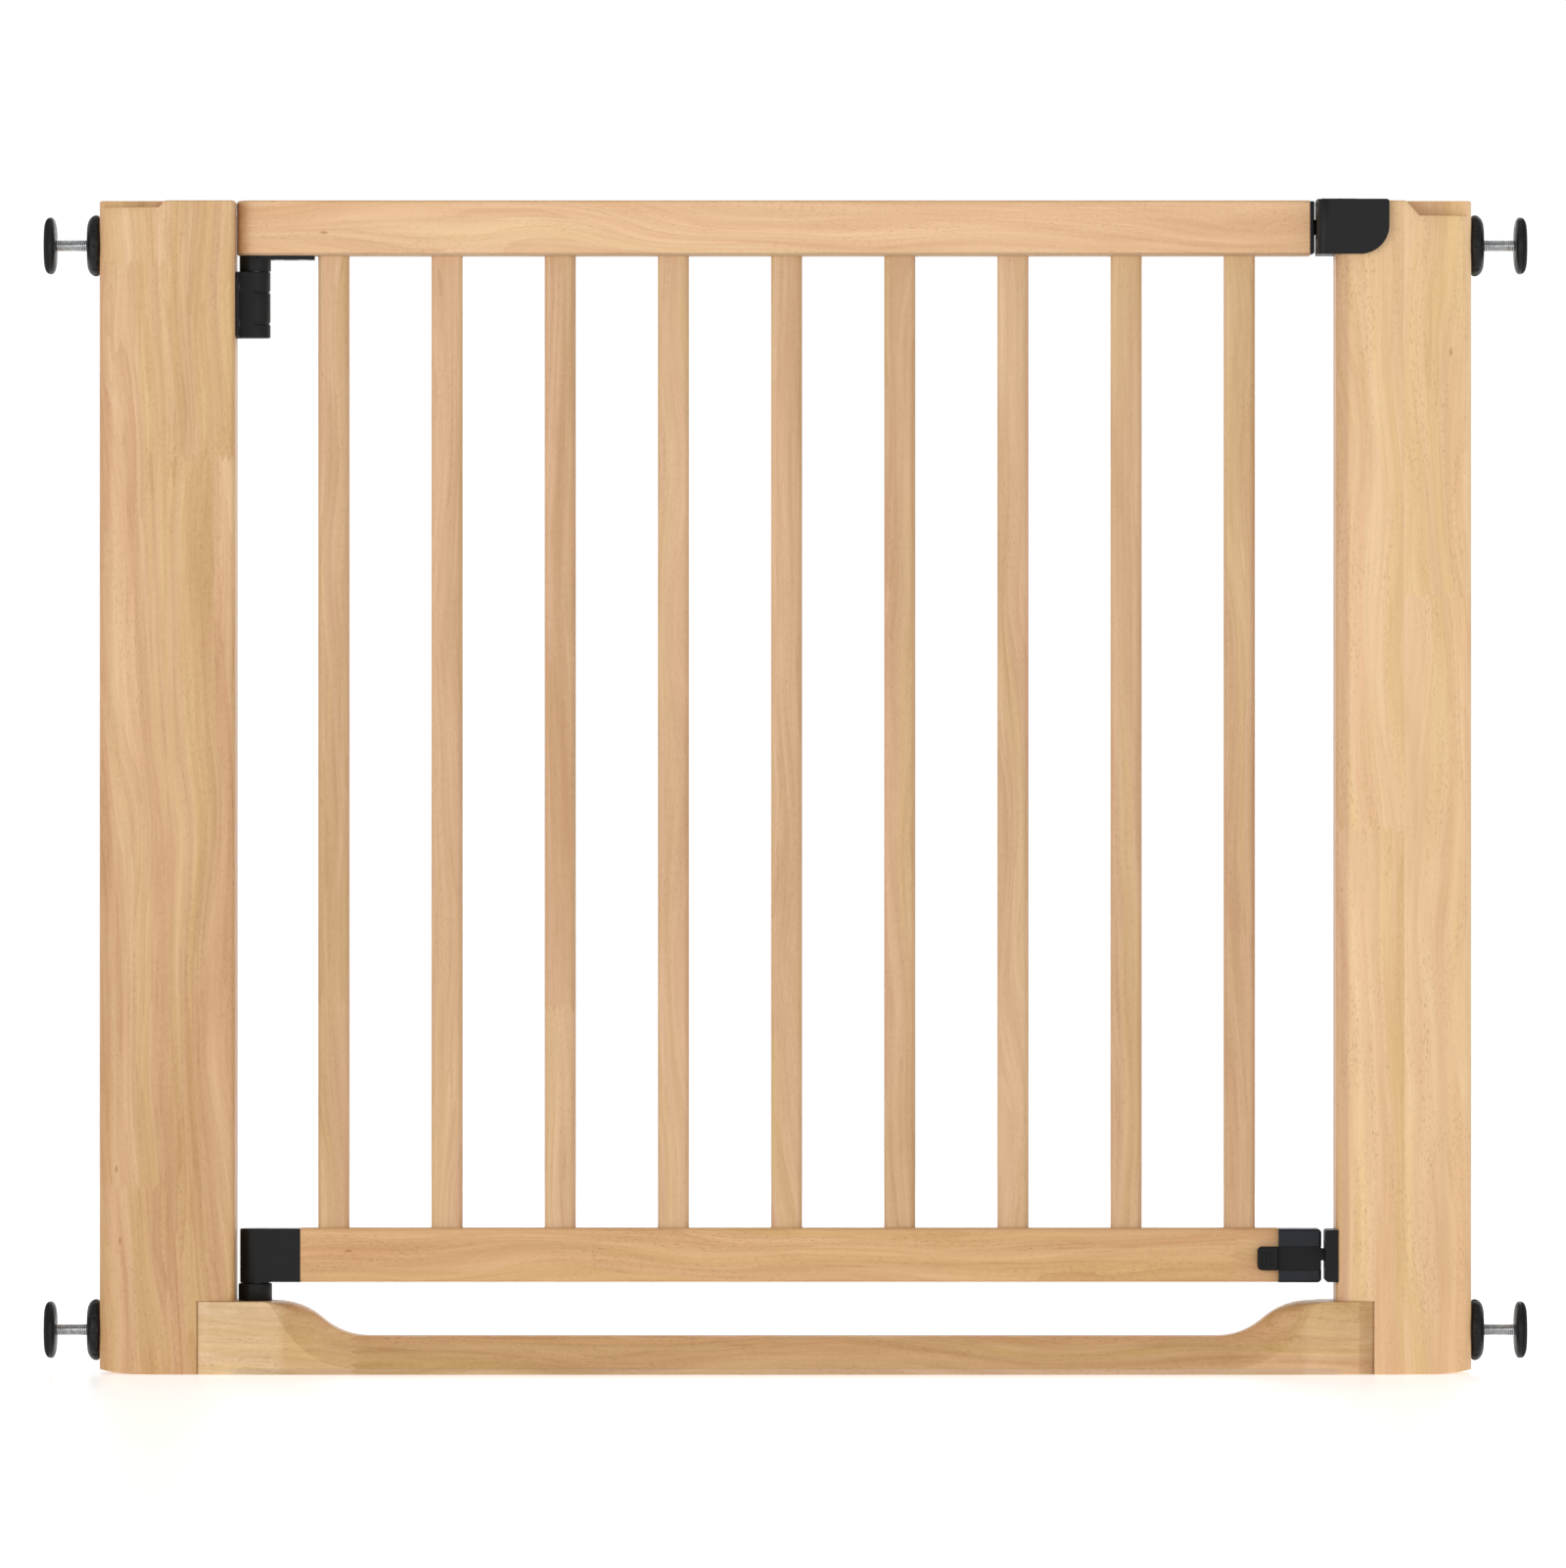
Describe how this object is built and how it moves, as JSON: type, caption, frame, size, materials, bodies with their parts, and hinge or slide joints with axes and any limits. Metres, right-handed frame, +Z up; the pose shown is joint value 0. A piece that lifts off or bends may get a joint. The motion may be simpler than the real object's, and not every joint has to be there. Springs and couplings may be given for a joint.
{
  "type": "safety baby gate",
  "caption": "Pressure-fit wooden safety gate: posts, low threshold and a barred door on side hinges with a top latch, a lower slide bolt and screw-out wall pads.",
  "frame": {"origin": "on the floor at the middle of the gate's width and depth", "axes": "+X along the gate from the hinge post to the latch post, -Y the front, +Z up"},
  "size_m": [1.0296, 0.0601, 0.8149],
  "materials": {
    "beech": "clear satin lacquer on beech",
    "black_plastic": "fine moulded texture",
    "white_nylon": "plain moulded",
    "zinc_steel": "bright zinc",
    "spindle_steel": "rolled thread, bright zinc",
    "black_rubber": "soft matt rubber"
  },
  "bodies": {
    "frame": {"left_post": "beech", "right_post": "beech", "threshold_bar": "beech", "threshold_screws": "zinc_steel", "spindle_sleeves": "white_nylon", "upper_hinge_barrel": "black_plastic", "upper_hinge_bush": "white_nylon", "upper_hinge_screws": "zinc_steel", "lower_pivot_boss": "black_plastic", "lower_pivot_pin": "zinc_steel", "latch_housing": "black_plastic", "latch_back_plate": "black_plastic", "latch_screws": "zinc_steel", "strike_plate": "black_plastic", "strike_screws": "zinc_steel"},
    "door": {"top_rail": "beech", "bottom_rail": "beech", "bar_1": "beech", "bar_2": "beech", "bar_3": "beech", "bar_4": "beech", "bar_5": "beech", "bar_6": "beech", "bar_7": "beech", "bar_8": "beech", "bar_9": "beech", "upper_hinge_plate": "black_plastic", "upper_hinge_pin": "zinc_steel", "upper_plate_screws": "zinc_steel", "lower_hinge_block": "black_plastic", "lower_hinge_bush": "white_nylon", "rail_end_plate": "black_plastic", "rail_plate_screws": "zinc_steel", "bolt_housing": "black_plastic", "door_fitting_screws": "zinc_steel"},
    "slide_bolt": {"slide_bolt": "black_plastic"},
    "latch": {"latch_bolt": "black_plastic", "latch_slider": "black_plastic", "latch_spring": "zinc_steel"},
    "bottom_left_wheel": {"bottom_left_wheel": "black_plastic"},
    "bottom_left_spindle": {"bottom_left_spindle": "spindle_steel", "bottom_left_pad_shell": "black_plastic", "bottom_left_pad_rubber": "black_rubber"},
    "bottom_right_wheel": {"bottom_right_wheel": "black_plastic"},
    "bottom_right_spindle": {"bottom_right_spindle": "spindle_steel", "bottom_right_pad_shell": "black_plastic", "bottom_right_pad_rubber": "black_rubber"},
    "top_left_wheel": {"top_left_wheel": "black_plastic"},
    "top_left_spindle": {"top_left_spindle": "spindle_steel", "top_left_pad_shell": "black_plastic", "top_left_pad_rubber": "black_rubber"},
    "top_right_wheel": {"top_right_wheel": "black_plastic"},
    "top_right_spindle": {"top_right_spindle": "spindle_steel", "top_right_pad_shell": "black_plastic", "top_right_pad_rubber": "black_rubber"}
  },
  "joints": [
    {"name": "door_swing", "type": "hinge", "parent": "frame", "child": "door", "pos_m": [-0.368, 0, 0.0625], "axis": [0, 0, 1], "range_deg": [-90, 90]},
    {"name": "latch_slide", "type": "slide", "parent": "frame", "child": "latch", "axis": [1, 0, 0], "range_m": [0, 0.0095], "stiffness_N_per_m": 300, "springref_m": -0.006, "deforming": ["latch_spring"]},
    {"name": "slide_bolt_slide", "type": "slide", "parent": "door", "child": "slide_bolt", "axis": [1, 0, 0], "range_m": [-0.008, 0]},
    {"name": "bottom_left_wheel_turn", "type": "hinge", "parent": "frame", "child": "bottom_left_wheel", "pos_m": [-0.48, 0.009, 0.0296], "axis": [-1, 0, 0], "range_deg": [-4400, 4400]},
    {"name": "bottom_left_spindle_slide", "type": "slide", "parent": "frame", "child": "bottom_left_spindle", "axis": [-1, 0, 0], "range_m": [-0.015, 0.015]},
    {"name": "bottom_right_wheel_turn", "type": "hinge", "parent": "frame", "child": "bottom_right_wheel", "pos_m": [0.48, 0.009, 0.0296], "axis": [1, 0, 0], "range_deg": [-4400, 4400]},
    {"name": "bottom_right_spindle_slide", "type": "slide", "parent": "frame", "child": "bottom_right_spindle", "axis": [1, 0, 0], "range_m": [-0.015, 0.015]},
    {"name": "top_left_wheel_turn", "type": "hinge", "parent": "frame", "child": "top_left_wheel", "pos_m": [-0.48, 0.009, 0.7826], "axis": [-1, 0, 0], "range_deg": [-4400, 4400]},
    {"name": "top_left_spindle_slide", "type": "slide", "parent": "frame", "child": "top_left_spindle", "axis": [-1, 0, 0], "range_m": [-0.015, 0.015]},
    {"name": "top_right_wheel_turn", "type": "hinge", "parent": "frame", "child": "top_right_wheel", "pos_m": [0.48, 0.009, 0.7826], "axis": [1, 0, 0], "range_deg": [-4400, 4400]},
    {"name": "top_right_spindle_slide", "type": "slide", "parent": "frame", "child": "top_right_spindle", "axis": [1, 0, 0], "range_m": [-0.015, 0.015]}
  ],
  "couplings": [
    {"joint": "bottom_left_wheel_turn", "follows": "bottom_left_spindle_slide", "rad_per_m": 5026.5},
    {"joint": "bottom_right_wheel_turn", "follows": "bottom_right_spindle_slide", "rad_per_m": 5026.5},
    {"joint": "top_left_wheel_turn", "follows": "top_left_spindle_slide", "rad_per_m": 5026.5},
    {"joint": "top_right_wheel_turn", "follows": "top_right_spindle_slide", "rad_per_m": 5026.5}
  ]
}
